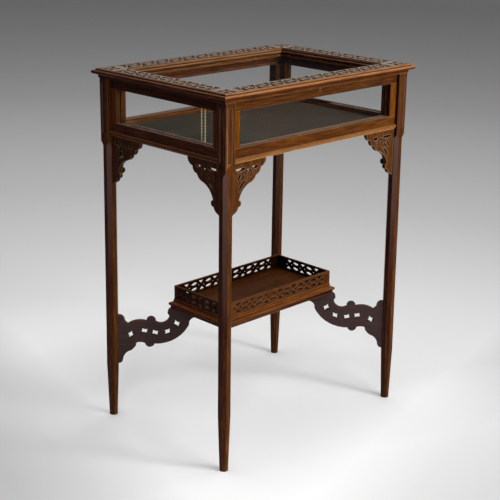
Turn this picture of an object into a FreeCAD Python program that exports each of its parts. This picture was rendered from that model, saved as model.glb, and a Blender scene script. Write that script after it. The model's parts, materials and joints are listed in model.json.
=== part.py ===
import FreeCAD, Part
import math
import os
import re

import Sketcher
from FreeCAD import Placement, Rotation, Vector

# Glazed display table: a shallow case with a hinged lid on four octagonal legs,
# with pierced corner brackets and a galleried tray on S-shaped stretchers.
# Millimetres. +Z up, front towards -Y, origin on the floor in the middle of the four feet.

os.makedirs("parts", exist_ok=True)
doc = FreeCAD.newDocument("DisplayTable")

# ------------------------------------------------------------------ driving sizes

SIZES = {
    # case and posts
    "case_width": 530,            # over the posts, left to right
    "case_depth": 374,            # over the posts, front to back
    "case_height": 751,           # floor to the top of the posts
    "post_size": 25,              # square post
    "post_arris": 0.6,            # eased edge of the square post
    "block_drop": 131,            # top of the case to where the square post ends
    "stop_height": 8,             # sloped stop between octagon and square
    "leg_size": 25,               # octagonal leg across flats
    "leg_splay": 3.5,             # feet stand out by this, sideways and lengthways
    "taper_height": 122,          # where the leg starts to taper
    "foot_size": 17,              # octagon across flats at the floor
    "flute_width": 14.5,          # stopped flute in each outer face of a post
    "flute_depth": 2.5,
    "flute_inset": 4.5,           # outer arris to the edge of the flute
    "flute_drop": 114,            # top of the case to the foot of the flutes
    "flute_top_gap": 10,          # flute to the top of the post
    # glazed sides
    "rail_setback": 8,            # rails stand back from the post faces
    "hinge_rail_setback": 1,      # the rail under the hinges comes out further
    "rail_thickness": 22,
    "upper_rail_height": 19.5,
    "lower_rail_height": 19,
    "lower_rail_drop": 108.5,     # top of the case to the underside of the lower rails
    "stile_width": 18.5,
    "lip_thickness": 9,           # wood in front of the glass
    "glass_overlap": 4,           # glass behind the lip
    "glass_thickness": 3,
    "glass_clearance": 0.5,
    "bead_depth": 10,
    "base_height": 8.5,           # moulding under the lower rails
    "base_projection": 4,
    "base_fillet": 1.5,
    "base_shelf": 7,              # carries the floor board
    "floor_thickness": 8,
    "floor_clearance": 0.5,
    "velvet_thickness": 3,
    "velvet_clearance": 1.5,
    # lid
    "lid_end_reach": 12.5,        # lid beyond the posts, at each end
    "lid_front_reach": 11.5,      # lid beyond the posts, front and back
    "lid_gap": 0.4,               # closed lid above the case
    "lid_thickness": 18.6,
    "lid_nose": 9,                # moulding in front of the top's outer edge
    "lid_border": 41,             # flat carved border
    "lid_bead": 2.6,
    "lid_quirk": 0.8,
    "lid_torus": 3.8,
    "lid_cove": 4,
    "lid_overhang": 10.5,         # nose to the edge of the underside
    "lid_ovolo": 4,
    "lid_fillet": 1.2,
    "lid_cavetto": 2.8,
    "lid_arris": 1.4,
    "lid_lip": 11,                # wood above the lid glass
    "lid_overlap": 6,
    "lid_opening": 100,           # degrees, where the chain stops the lid
    # hinges
    "hinge_spacing": 300,
    "hinge_length": 40,
    "hinge_offset": 3.2,          # pin behind the post faces
    "leaf_width": 15,
    "leaf_thickness": 1.2,
    "knuckle_radius": 2.8,
    "knuckle_gap": 0.3,
    "pin_radius": 1.2,
    "pin_clearance": 0.05,
    "screw_radius": 1.2,
    "screw_head_radius": 2.4,
    "screw_length": 9,
    # lock
    "lock_width": 34,
    "lock_thickness": 7,
    "lock_inset": 1,              # lock stands proud of the rail's inner face
    "bolt_width": 8,
    "bolt_thickness": 3,
    "bolt_length": 7.5,
    "bolt_throw": 4,
    "bolt_clearance": 0.3,
    "keyhole_radius": 1.7,
    "keyhole_drop": 4,
    "keyhole_height": 5,          # keyhole centre below the top of the rail
    "escutcheon_margin": 1,
    "escutcheon_thickness": 1.5,
    "strike_width": 30,
    "strike_depth": 9,
    "strike_thickness": 1.2,
    # corner brackets
    "bracket_reach": 91,
    "bracket_drop": 102,
    "bracket_thickness": 8,
    # tray
    "tray_width": 320,
    "tray_depth": 161,
    "tray_floor": 274.5,
    "board_thickness": 12,
    "gallery_height": 30,
    "gallery_thickness": 5,
    "gallery_end": 22.5,          # plain end of a gallery panel
    "gallery_fret": 23,           # width of one fret motif
    "tray_edge_height": 21.5,
    "tray_edge_projection": 8,
    "tray_edge_shelf": 12,
    "tray_edge_step": 2,          # small steps of the strip's outline
    # stretchers
    "stretcher_thickness": 10,
    "stretcher_foot": 123.5,
    "stretcher_head": 235,
    "stretcher_bar": 19,          # depth under the tray
    "stretcher_easing": 3,        # rise of the curve into the bar
    "star_radius": 10.3,
    # stay chain
    "chain_radius": 1.4,
    "chain_clearance": 0.3,
    "chain_case_eye": 85,         # eye on the case, in front of the middle
    "chain_lid_eye": 91,          # eye on the lid, in front of the middle
    "chain_inset": 3.2,           # first run of chain from the rail's inner face
    "chain_spacing": 3.6,         # between the two hanging runs
    "eye_drop": 6,                # eye below the case's top, and below the lid
    "eye_plate_radius": 2.6,
    "eye_plate_thickness": 0.8,
}

sheet = doc.addObject("Spreadsheet::Sheet", "Sizes")
for row, (alias, number) in enumerate(SIZES.items(), start=1):
    sheet.set(f"A{row}", alias)
    sheet.set(f"B{row}", str(number))
    sheet.setAlias(f"B{row}", alias)
doc.recompute()

REGULAR_CUT = 1 - math.sqrt(0.5)     # corner cut that makes a square a regular octagon
UP = Vector(0, 0, 1)

# Derived places, written as formulas of the sizes
POST_X = "(case_width / 2 - post_size / 2)"
POST_Y = "(case_depth / 2 - post_size / 2)"
FRONT_LENGTH = "(case_width - 2 * post_size)"
SIDE_LENGTH = "(case_depth - 2 * post_size)"
BLOCK_BOTTOM = "(case_height - block_drop)"
FLUTE_BOTTOM = "(case_height - flute_drop)"
RAIL_BOTTOM = "(case_height - lower_rail_drop)"            # underside of the lower rails
HEAD = "(case_height - upper_rail_height)"                 # top of the glazed opening
SILL = f"({RAIL_BOTTOM} + lower_rail_height)"              # bottom of the glazed opening
BASE_BOTTOM = f"({RAIL_BOTTOM} - base_height)"
LIP_BACK = "(rail_setback + lip_thickness)"
RAIL_BACK = "(rail_setback + rail_thickness)"
BASE_BACK = f"({RAIL_BACK} + base_shelf)"
GLASS_BACK = f"({LIP_BACK} + glass_thickness)"
REBATE_SIDE = "(stile_width - glass_overlap)"
VELVET_TOP = f"({RAIL_BOTTOM} + floor_thickness + velvet_thickness)"
LID_WIDTH = "(case_width + 2 * lid_end_reach)"
LID_DEPTH = "(case_depth + 2 * lid_front_reach)"
LID_BOTTOM = "(case_height + lid_gap)"
LID_TOP = f"({LID_BOTTOM} + lid_thickness)"
LID_SIGHT = "(lid_nose + lid_border + lid_ovolo + lid_fillet + lid_cavetto)"
LID_REBATE = f"({LID_SIGHT} - lid_overlap)"
HINGE_Y = "(case_depth / 2 + hinge_offset)"
HINGE_Z = "(case_height + lid_gap / 2)"
LOCK_FRONT = f"({RAIL_BACK} + lock_inset - lock_thickness)"
BOLT_MIDDLE = f"({LOCK_FRONT} + lock_thickness / 2)"
TRAY_BOTTOM = "(tray_floor - tray_edge_height)"


def formula(text):
    """A formula of size names, spelled as an expression of the sheet."""
    def cell(word):
        return f"Sizes.{word.group()}" if word.group() in SIZES else word.group()
    return re.sub(r"[a-z]\w+", cell, text)


def value(text):
    return float(sheet.evalExpression(formula(text)))


# ------------------------------------------------------------------ building helpers

def bind(piece, **formulas):
    """Tie properties of a piece to formulas of the sizes."""
    for name, text in formulas.items():
        piece.setExpression(name, formula(text))


def place(piece, x="0", y="0", z="0", turn=0):
    """Put a piece at a place given by formulas, turned about the vertical."""
    piece.Placement = Placement(Vector(), Rotation(UP, turn))
    for axis, text in zip("xyz", (x, y, z)):
        piece.setExpression(f"Placement.Base.{axis}", formula(text))


# Each side of a frame is drawn the same way: x along the side, y inwards from its outer
# plane. A side gives the turn and how such an (x, y) lands in the model.
SIDES = {
    "front": (0, "{x}", "-{half_depth} + {y}"),
    "right": (90, "{half_width} - {y}", "{x}"),
    "back": (180, "-{x}", "{half_depth} - {y}"),
    "left": (270, "-{half_width} + {y}", "-{x}"),
}


def place_on_side(piece, side, width, depth, x="0", y="0", z="0"):
    """Put a piece on one side of a frame of the given outer width and depth."""
    turn, x_rule, y_rule = SIDES[side]
    halves = {"half_width": f"({width}) / 2", "half_depth": f"({depth}) / 2"}
    spots = {"x": f"({x})", "y": f"({y})"}
    place(piece, x_rule.format(**halves, **spots), y_rule.format(**halves, **spots), z, turn)


def along(side, front, flank):
    """Pick the formula that belongs to the long sides or to the short ones."""
    return front if side in ("front", "back") else flank


def new_sketch(body, name, role, height="0"):
    sketch = body.newObject("Sketcher::SketchObject", name)
    plane = next(item for item in body.Origin.OriginFeatures if item.Role == role)
    sketch.AttachmentSupport = [(plane, "")]
    sketch.MapMode = "FlatFace"
    sketch.setExpression("AttachmentOffset.Base.z", formula(height))
    return sketch


def arc_between(start, finish, radius, turn):
    """The short arc from start to finish; turn is 1 where it turns left, -1 right."""
    chord = finish - start
    left = Vector(-chord.y, chord.x).normalize()
    reach = math.sqrt(max(radius ** 2 - chord.Length ** 2 / 4, 0))
    centre = (start + finish) / 2 + left * (turn * reach)
    first, last = (start, finish) if turn > 0 else (finish, start)
    angles = [math.atan2(end.y - centre.y, end.x - centre.x) for end in (first, last)]
    if angles[1] < angles[0]:
        angles[1] += 2 * math.pi
    return Part.ArcOfCircle(Part.Circle(centre, UP, radius), *angles)


def draw_outline(sketch, corners):
    """Closed outline. A corner is (x, y), or (x, y, radius, turn) where an arc follows."""
    points = [Vector(value(corner[0]), value(corner[1])) for corner in corners]
    count = len(points)
    first = sketch.GeometryCount
    ends = []
    for index, corner in enumerate(corners):
        start, finish = points[index], points[(index + 1) % count]
        if len(corner) == 2:
            sketch.addGeometry(Part.LineSegment(start, finish))
            ends.append((1, 2))
        else:
            radius, turn = corner[2:]
            sketch.addGeometry(arc_between(start, finish, value(radius), turn))
            ends.append((1, 2) if turn > 0 else (2, 1))
            number = sketch.addConstraint(
                Sketcher.Constraint("Radius", first + index, value(radius)))
            sketch.setExpression(f"Constraints[{number}]", formula(radius))
    for index, corner in enumerate(corners):
        here, there = first + index, first + (index + 1) % count
        start_end, next_start = ends[index][0], ends[(index + 1) % count][0]
        sketch.addConstraint(
            Sketcher.Constraint("Coincident", here, ends[index][1], there, next_start))
        for kind, text, spot in zip(("DistanceX", "DistanceY"), corner, points[index]):
            number = sketch.addConstraint(
                Sketcher.Constraint(kind, -1, 1, here, start_end, spot))
            sketch.setExpression(f"Constraints[{number}]", formula(text))


def strip(label, corners, length):
    """A straight length of wood: end outline in the YZ plane, centred along X."""
    body = doc.addObject("PartDesign::Body", label)
    sketch = new_sketch(body, label + "_section", "YZ_Plane")
    draw_outline(sketch, corners)
    pad = body.newObject("PartDesign::Pad", label + "_length")
    pad.Profile = sketch
    pad.SideType = "Symmetric"
    bind(pad, Length=length)
    return body


def mitre(body, length, width, start="0"):
    """Cut both ends of a strip at 45 degrees, from a depth inwards to its full width."""
    sketch = new_sketch(body, body.Name + "_mitres", "XY_Plane")
    spare = "5"
    for sign in ("", "-"):
        draw_outline(sketch, [
            (f"{sign}({length} / 2 + {spare})", f"{start} - {spare}"),
            (f"{sign}({length} / 2 + {spare})", f"{width} + {spare}"),
            (f"{sign}({length} / 2 - ({width} - {start}) - {spare})", f"{width} + {spare}"),
        ])
    pocket = body.newObject("PartDesign::Pocket", body.Name + "_mitre_cut")
    pocket.Profile = sketch
    pocket.Type = "ThroughAll"
    pocket.Reversed = True


def box(label, length, width, height):
    board = doc.addObject("Part::Box", label)
    bind(board, Length=length, Width=width, Height=height)
    return board


def group(label, pieces):
    """Like pieces that share one node."""
    compound = doc.addObject("Part::Compound", label)
    compound.Links = pieces
    return compound


def shaped(label, shape):
    """A piece whose outline is worked out with Part's own functions."""
    piece = doc.addObject("Part::Feature", label)
    piece.Shape = shape
    return piece


def cut(label, base, tools):
    """A piece with other shapes taken out of it."""
    result = doc.addObject("Part::Cut", label)
    result.Base = base
    result.Tool = tools[0] if len(tools) == 1 else group(label + "_tools", tools)
    return result


def carried(shape, origin, turn=0):
    """The shape turned about the vertical, then carried to a place."""
    shape.Placement = Placement(origin, Rotation(UP, turn)) * shape.Placement
    return shape


def block(low, high):
    """A plain block between two corners."""
    return Part.makeBox(high.x - low.x, high.y - low.y, high.z - low.z, low)


def wire_through(steps):
    """Closed wire. A step is (x, z) for a line, or (mid x, mid z, x, z) for an arc."""
    here = Vector(steps[0][0], 0, steps[0][1])
    start = here
    edges = []
    for step in steps[1:]:
        there = Vector(step[-2], 0, step[-1])
        if len(step) == 4:
            edges.append(Part.Arc(here, Vector(step[0], 0, step[1]), there).toShape())
        else:
            edges.append(Part.makeLine(here, there))
        here = there
    if (here - start).Length > 1e-6:
        edges.append(Part.makeLine(here, start))
    return Part.Wire(edges)


def plate(outline, holes, thickness):
    """A board in the XZ plane with holes through it, centred on y = 0."""
    face = Part.Face([outline] + holes)
    face.validate()
    board = face.extrude(Vector(0, thickness, 0))
    board.translate(Vector(0, -thickness / 2, 0))
    return board


def screw_shape(head_top, direction):
    """A countersunk screw: its head's flat face is at head_top, it points along direction."""
    head, shank = value("screw_head_radius"), value("screw_radius")
    sink = head - shank
    cone = Part.makeCone(head, shank, sink, head_top, direction)
    stem = Part.makeCylinder(shank, value("screw_length") - sink, head_top + direction * sink,
                             direction)
    return cone.fuse(stem).removeSplitter()


# ------------------------------------------------------------------ legs

def lean(height):
    """How far the leg's middle stands out at a height below the square post."""
    return f"(leg_splay * ({BLOCK_BOTTOM} - {height}) / {BLOCK_BOTTOM})"


def octagon(across, cut_off, shift):
    """Corners of a square with its corners cut off, moved outwards by a shift."""
    half = f"({across}) / 2"
    inner = f"({half} - {cut_off})"
    ring = [(inner, f"-{half}"), (half, f"-{inner}"), (half, inner), (inner, half),
            (f"-{inner}", half), (f"-{half}", inner), (f"-{half}", f"-{inner}"),
            (f"-{inner}", f"-{half}")]
    return [(f"{x} - {shift}", f"{y} - {shift}") for x, y in ring]


def build_leg(label, x, y, turn):
    """Tapered octagonal leg and square fluted post in one length; outer faces -X and -Y."""
    body = doc.addObject("PartDesign::Body", label)
    stop = f"({BLOCK_BOTTOM} - stop_height)"
    regular = f"leg_size * {REGULAR_CUT}"
    sections = [
        ("0", "foot_size", f"foot_size * {REGULAR_CUT}", lean("0")),
        ("taper_height", "leg_size", regular, lean("taper_height")),
        (stop, "leg_size", regular, lean(stop)),
        (BLOCK_BOTTOM, "post_size", "post_arris", "0"),
        ("case_height", "post_size", "post_arris", "0"),
    ]
    sketches = []
    for number, (height, across, cut_off, shift) in enumerate(sections):
        sketch = new_sketch(body, f"{label}_section_{number}", "XY_Plane", height)
        draw_outline(sketch, octagon(across, cut_off, shift))
        sketches.append(sketch)
    loft = body.newObject("PartDesign::AdditiveLoft", label + "_shape")
    loft.Profile = sketches[0]
    loft.Sections = sketches[1:]
    loft.Ruled = True

    flutes = new_sketch(body, label + "_flute_section", "XY_Plane", FLUTE_BOTTOM)
    radius = "((flute_width ^ 2 / 4 + flute_depth ^ 2) / (2 * flute_depth))"
    outside = f"-post_size / 2 + flute_depth - {radius}"
    middle = "-post_size / 2 + flute_inset + flute_width / 2"
    for number, centre in enumerate([(outside, middle), (middle, outside)]):
        spot = Vector(value(centre[0]), value(centre[1]))
        flutes.addGeometry(Part.Circle(spot, UP, value(radius)))
        for kind, text, reach in zip(("DistanceX", "DistanceY"), centre, spot):
            tie = flutes.addConstraint(Sketcher.Constraint(kind, -1, 1, number, 3, reach))
            flutes.setExpression(f"Constraints[{tie}]", formula(text))
        tie = flutes.addConstraint(Sketcher.Constraint("Radius", number, value(radius)))
        flutes.setExpression(f"Constraints[{tie}]", formula(radius))
    pocket = body.newObject("PartDesign::Pocket", label + "_flutes")
    pocket.Profile = flutes
    pocket.Reversed = True
    bind(pocket, Length=f"case_height - flute_top_gap - {FLUTE_BOTTOM}")
    place(body, x, y, "0", turn)
    return body


LEGS = {
    "front_left": (-1, -1, 0),
    "front_right": (1, -1, 90),
    "back_right": (1, 1, 180),
    "back_left": (-1, 1, 270),
}
legs = {}
for corner, (right, back, turn) in LEGS.items():
    legs[corner] = build_leg(
        f"leg_{corner}", f"{right} * {POST_X}", f"{back} * {POST_Y}", turn)
doc.recompute()


# ------------------------------------------------------------------ glazed sides

def rail_label(stem, side):
    """The long sides' rails are blanks until the lock and hinges are let into them."""
    return f"{stem}_{side}" + along(side, "_blank", "")


def build_rails(side, length):
    """Upper rail, lower rail and base moulding of one side, between the posts."""
    outer = "hinge_rail_setback" if side == "back" else "rail_setback"
    upper = strip(rail_label("upper_rail", side), [
        (outer, HEAD), (LIP_BACK, HEAD),
        (LIP_BACK, f"{HEAD} + glass_overlap"), (RAIL_BACK, f"{HEAD} + glass_overlap"),
        (RAIL_BACK, "case_height"), (outer, "case_height"),
    ], length)
    lower = strip(f"lower_rail_{side}", [
        ("rail_setback", RAIL_BOTTOM), (RAIL_BACK, RAIL_BOTTOM),
        (RAIL_BACK, f"{SILL} - glass_overlap"), (LIP_BACK, f"{SILL} - glass_overlap"),
        (LIP_BACK, SILL), ("rail_setback", SILL),
    ], length)
    nose = "rail_setback - base_projection"
    roll = f"{RAIL_BOTTOM} - base_projection"
    base = strip(f"base_strip_{side}", [
        ("rail_setback", RAIL_BOTTOM, "base_projection", 1),
        (nose, roll),
        (nose, f"{roll} - base_fillet", "base_projection", -1),
        ("rail_setback", f"{roll} - base_fillet - base_projection"),
        ("rail_setback", BASE_BOTTOM),
        (BASE_BACK, BASE_BOTTOM),
        (BASE_BACK, RAIL_BOTTOM),
    ], length)
    # the rails reach further in than the posts and meet there in a mitre
    for piece, depth in ((upper, RAIL_BACK), (lower, RAIL_BACK), (base, BASE_BACK)):
        mitre(piece, length, depth, "post_size")
        place_on_side(piece, side, "case_width", "case_depth")
    return upper, lower, base


def build_stiles(side, length):
    """Two upright glazing bars, one against each post, mitred where they pass it."""
    stiles = []
    for sign, end in (("", "a"), ("-", "b")):
        body = doc.addObject("PartDesign::Body", f"stile_{side}_{end}")
        sketch = new_sketch(body, f"{body.Name}_section", "XY_Plane", SILL)
        post = f"{sign}{length} / 2"
        inner = f"{sign}({length} / 2 - stile_width)"
        rebate = f"{sign}({length} / 2 - {REBATE_SIDE})"
        corner = f"{sign}({length} / 2 - ({RAIL_BACK} - post_size))"
        draw_outline(sketch, [
            (post, "rail_setback"), (inner, "rail_setback"), (inner, LIP_BACK),
            (rebate, LIP_BACK), (rebate, RAIL_BACK), (corner, RAIL_BACK), (post, "post_size"),
        ])
        pad = body.newObject("PartDesign::Pad", f"{body.Name}_height")
        pad.Profile = sketch
        bind(pad, Length=f"{HEAD} - {SILL}")
        place_on_side(body, side, "case_width", "case_depth")
        stiles.append(body)
    return stiles


def build_pane(side, length):
    across = f"{length} - 2 * ({REBATE_SIDE} + glass_clearance)"
    pane = box(f"glass_{side}", across, "glass_thickness",
               f"{HEAD} - {SILL} + 2 * glass_overlap - glass_clearance")
    place_on_side(pane, side, "case_width", "case_depth", f"-({across}) / 2", LIP_BACK,
                  f"{SILL} - glass_overlap")
    return pane


def build_beads(side, length):
    """Four beads that hold one pane from inside."""
    long_bead = f"({length} - 2 * {REBATE_SIDE})"
    beads = []
    for name, z in (("top", HEAD), ("bottom", f"{SILL} - glass_overlap")):
        bead = box(f"bead_{side}_{name}", long_bead, "bead_depth", "glass_overlap")
        place_on_side(bead, side, "case_width", "case_depth", f"-{long_bead} / 2", GLASS_BACK, z)
        beads.append(bead)
    for name, x in (("a", f"-{long_bead} / 2"), ("b", f"{long_bead} / 2 - glass_overlap")):
        bead = box(f"bead_{side}_{name}", "glass_overlap", "bead_depth", f"{HEAD} - {SILL}")
        place_on_side(bead, side, "case_width", "case_depth", x, GLASS_BACK, SILL)
        beads.append(bead)
    return beads


case_rails = {}
base_strips, stiles, case_beads = [], [], []
for side in SIDES:
    side_length = along(side, FRONT_LENGTH, SIDE_LENGTH)
    upper_rail, lower_rail, base_strip = build_rails(side, side_length)
    case_rails[side] = upper_rail
    base_strips.append(base_strip)
    stiles += build_stiles(side, side_length)
    build_pane(side, side_length)
    case_beads += build_beads(side, side_length)
group("base_moulding", base_strips)
group("glazing_stiles", stiles)
group("case_glazing_beads", case_beads)


def build_floor():
    """Floor board between the rails, and the velvet lining on it."""
    for label, margin, z, thickness in (
            ("floor_board", "floor_clearance", RAIL_BOTTOM, "floor_thickness"),
            ("velvet_lining", "(floor_clearance + velvet_clearance)",
             f"{RAIL_BOTTOM} + floor_thickness", "velvet_thickness")):
        across = f"(case_width - 2 * {RAIL_BACK} - 2 * {margin})"
        deep = f"(case_depth - 2 * {RAIL_BACK} - 2 * {margin})"
        board = box(label, across, deep, thickness)
        place(board, f"-{across} / 2", f"-{deep} / 2", z)


build_floor()


# ------------------------------------------------------------------ lid

def build_lid_rail(side):
    """Mitred lid rail: torus and cove outside, ovolo and cavetto inside, rebate below."""
    length = along(side, LID_WIDTH, LID_DEPTH)
    bead_z = f"{LID_TOP} - lid_bead"
    torus_z = f"{bead_z} - lid_quirk - lid_torus"
    cove_z = f"{torus_z} - lid_torus"
    flat_end = "lid_nose + lid_border"
    ovolo_z = f"{LID_TOP} - lid_arris - lid_ovolo"
    rail = strip(rail_label("lid_rail", side), [
        ("lid_nose", LID_TOP, "lid_bead", 1),
        ("lid_nose - lid_bead", bead_z),
        ("lid_nose - lid_bead + lid_quirk", bead_z),
        ("lid_nose - lid_bead + lid_quirk", f"{bead_z} - lid_quirk"),
        ("lid_torus", f"{bead_z} - lid_quirk", "lid_torus", 1),
        ("0", torus_z, "lid_torus", 1),
        ("lid_torus", cove_z),
        ("lid_overhang - lid_cove", cove_z, "lid_cove", -1),
        ("lid_overhang", f"{cove_z} - lid_cove"),
        ("lid_overhang", LID_BOTTOM),
        (LID_REBATE, LID_BOTTOM),
        (LID_REBATE, f"{LID_TOP} - lid_lip"),
        (LID_SIGHT, f"{LID_TOP} - lid_lip"),
        (LID_SIGHT, f"{ovolo_z} - lid_fillet - lid_cavetto", "lid_cavetto", 1),
        (f"{flat_end} + lid_ovolo + lid_fillet", f"{ovolo_z} - lid_fillet"),
        (f"{flat_end} + lid_ovolo", f"{ovolo_z} - lid_fillet"),
        (f"{flat_end} + lid_ovolo", ovolo_z, "lid_ovolo", 1),
        (flat_end, f"{LID_TOP} - lid_arris"),
        (flat_end, LID_TOP),
    ], length)
    mitre(rail, length, LID_SIGHT)
    place_on_side(rail, side, LID_WIDTH, LID_DEPTH)
    return rail


lid_rails = {side: build_lid_rail(side) for side in SIDES}

lid_glass_width = f"({LID_WIDTH} - 2 * ({LID_REBATE} + glass_clearance))"
lid_glass_depth = f"({LID_DEPTH} - 2 * ({LID_REBATE} + glass_clearance))"
lid_glass_bottom = f"({LID_TOP} - lid_lip - glass_thickness)"
lid_glass = box("lid_glass", lid_glass_width, lid_glass_depth, "glass_thickness")
place(lid_glass, f"-{lid_glass_width} / 2", f"-{lid_glass_depth} / 2", lid_glass_bottom)

lid_beads = []
for side in SIDES:
    # the long beads run through, the short ones fit between them
    bead_length = along(side, f"({LID_WIDTH} - 2 * {LID_REBATE})", f"({LID_DEPTH} - 2 * {LID_SIGHT})")
    lid_bead = box(f"lid_bead_{side}", bead_length, "lid_overlap",
                   f"{lid_glass_bottom} - {LID_BOTTOM}")
    place_on_side(lid_bead, side, LID_WIDTH, LID_DEPTH, f"-{bead_length} / 2", LID_REBATE,
                  LID_BOTTOM)
    lid_beads.append(lid_bead)
group("lid_glazing_beads", lid_beads)


# ------------------------------------------------------------------ hinges

def knuckle(x, first, last, radius):
    """A cylinder round the hinge pin between two places along one hinge, 0 to 1."""
    length = value("hinge_length")
    start = Vector(x + (first - 0.5) * length, value(HINGE_Y), value(HINGE_Z))
    return Part.makeCylinder(radius, (last - first) * length, start, Vector(1, 0, 0))


def leaf_block(x, z):
    half = value("hinge_length") / 2
    return block(Vector(x - half, value(f"{HINGE_Y} - leaf_width"), z),
                 Vector(x + half, value(HINGE_Y), z + value("leaf_thickness")))


def hinge_screws(x, z, direction):
    spots = [Vector(x + shift * value("hinge_length"), value(f"{HINGE_Y} - leaf_width * 0.6"), z)
             for shift in (-0.3, 0.3)]
    return [screw_shape(spot, direction) for spot in spots]


def build_hinges():
    """Two butt hinges: the case leaf has the outer knuckles, the lid leaf the middle one."""
    radius, gap = value("knuckle_radius"), value("knuckle_gap")
    bore = value("pin_radius + pin_clearance")
    slack = gap / value("hinge_length")
    case_leaves, lid_leaves, pins, case_screws, lid_screws = [], [], [], [], []
    recesses, lid_recesses = [], []
    case_z, lid_z = value("case_height - leaf_thickness"), value(LID_BOTTOM)
    for x in (value("-hinge_spacing / 2"), value("hinge_spacing / 2")):
        hole = knuckle(x, -0.1, 1.1, bore)
        screws = hinge_screws(x, value("case_height"), -UP)
        leaf = leaf_block(x, case_z)
        recesses.append(leaf)
        leaf = leaf.cut(knuckle(x, 1 / 3 - slack, 2 / 3 + slack, radius + gap))
        leaf = leaf.fuse([knuckle(x, 0, 1 / 3, radius), knuckle(x, 2 / 3, 1, radius)])
        case_leaves.append(leaf.cut([hole] + screws).removeSplitter())
        case_screws += screws

        screws = hinge_screws(x, value(LID_BOTTOM), UP)
        leaf = leaf_block(x, lid_z)
        lid_recesses += [leaf, knuckle(x, -slack, 1 + slack, radius + 2 * gap)]
        leaf = leaf.cut([knuckle(x, -slack, 1 / 3 + slack, radius + gap),
                         knuckle(x, 2 / 3 - slack, 1 + slack, radius + gap)])
        leaf = leaf.fuse(knuckle(x, 1 / 3 + slack, 2 / 3 - slack, radius))
        lid_leaves.append(leaf.cut([hole] + screws).removeSplitter())
        lid_screws += screws
        pins.append(knuckle(x, 0, 1, value("pin_radius")))
    shaped("hinge_case_leaves", Part.makeCompound(case_leaves))
    shaped("hinge_lid_leaves", Part.makeCompound(lid_leaves))
    shaped("hinge_pins", Part.makeCompound(pins))
    case_set = shaped("hinge_case_screws", Part.makeCompound(case_screws))
    lid_set = shaped("hinge_lid_screws", Part.makeCompound(lid_screws))
    recess = shaped("hinge_case_recess", Part.makeCompound(recesses))
    lid_recess = shaped("hinge_lid_recess", Part.makeCompound(lid_recesses))
    return case_set, lid_set, recess, lid_recess


hinge_case_screws, hinge_lid_screws, hinge_recess, hinge_lid_recess = build_hinges()
cut("upper_rail_back", case_rails["back"], [hinge_recess, hinge_case_screws])
cut("lid_rail_back", lid_rails["back"], [hinge_lid_recess, hinge_lid_screws])


# ------------------------------------------------------------------ lock

def keyhole_shape(radius, drop, near, far):
    """A keyhole through the front rail: a round hole with a slot below it."""
    front = value("-case_depth / 2 + rail_setback")
    height = value("case_height - keyhole_height")
    start = Vector(0, front + near, height)
    barrel = Part.makeCylinder(radius, far - near, start, Vector(0, 1, 0))
    width = radius * 0.6
    slot = block(Vector(-width, front + near, height - drop), Vector(width, front + far, height))
    return barrel.fuse(slot).removeSplitter()


def build_lock():
    """Lock let into the front rail's inner face; its bolt rises into the lid's strike."""
    front = value("-case_depth / 2")
    top, bottom = value("case_height"), value(f"{HEAD} + glass_overlap")
    near, far = front + value(LOCK_FRONT), front + value(f"{LOCK_FRONT} + lock_thickness")
    half = value("lock_width") / 2
    case = block(Vector(-half, near, bottom), Vector(half, far, top))
    middle = front + value(BOLT_MIDDLE)
    slack = value("bolt_clearance")
    reach = Vector(value("bolt_width / 2"), value("bolt_thickness / 2"), 0)
    bolt_top = top - slack
    bolt_low = Vector(0, middle, bolt_top - value("bolt_length"))
    bolt = block(bolt_low - reach, Vector(0, middle, bolt_top) + reach)
    around = reach + Vector(slack, slack, 0)
    cavity = block(bolt_low - around - UP * slack, Vector(0, middle, top) + around)
    keyway = keyhole_shape(value("keyhole_radius"), value("keyhole_drop"), 0,
                           value(f"{BOLT_MIDDLE} - rail_setback"))
    screws = [screw_shape(Vector(side * half * 0.7, far, (top + bottom) / 2), Vector(0, -1, 0))
              for side in (-1, 1)]
    shaped("lock_case", case.cut([cavity, keyway] + screws))
    shaped("lock_bolt", bolt)
    lock_screws = shaped("lock_screws", Part.makeCompound(screws))

    margin, sink = value("escutcheon_margin"), value("escutcheon_thickness")
    plate_shape = keyhole_shape(value("keyhole_radius + escutcheon_margin"),
                                value("keyhole_drop + escutcheon_margin"), 0, sink)
    shaped("escutcheon", plate_shape.cut(keyway))

    strike_z = value(LID_BOTTOM)
    half_strike = Vector(value("strike_width / 2"), value("strike_depth / 2"), 0)
    strike_place = Vector(0, middle, strike_z)
    strike = block(strike_place - half_strike,
                   strike_place + half_strike + UP * value("strike_thickness"))
    mortise = block(strike_place - around,
                    strike_place + around + UP * value("bolt_throw + lid_gap"))
    strike_screws = [
        screw_shape(strike_place + Vector(side * half_strike.x * 0.7, 0, 0), UP)
        for side in (-1, 1)]
    shaped("strike_plate", strike.cut([mortise] + strike_screws))
    strike_set = shaped("strike_screws", Part.makeCompound(strike_screws))

    rail_recess = block(Vector(-half, near, bottom), Vector(half, far, top))
    rail_tool = shaped("lock_recess", Part.makeCompound([rail_recess]))
    key_tool = shaped("keyhole_tool", keyway)
    escutcheon_tool = shaped("escutcheon_recess", plate_shape)
    strike_tool = shaped("strike_recess", Part.makeCompound([strike, mortise]))
    return [rail_tool, key_tool, escutcheon_tool, lock_screws], [strike_tool, strike_set]


front_rail_tools, front_lid_tools = build_lock()
cut("upper_rail_front", case_rails["front"], front_rail_tools)
cut("lid_rail_front", lid_rails["front"], front_lid_tools)


# ------------------------------------------------------------------ corner brackets

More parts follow.
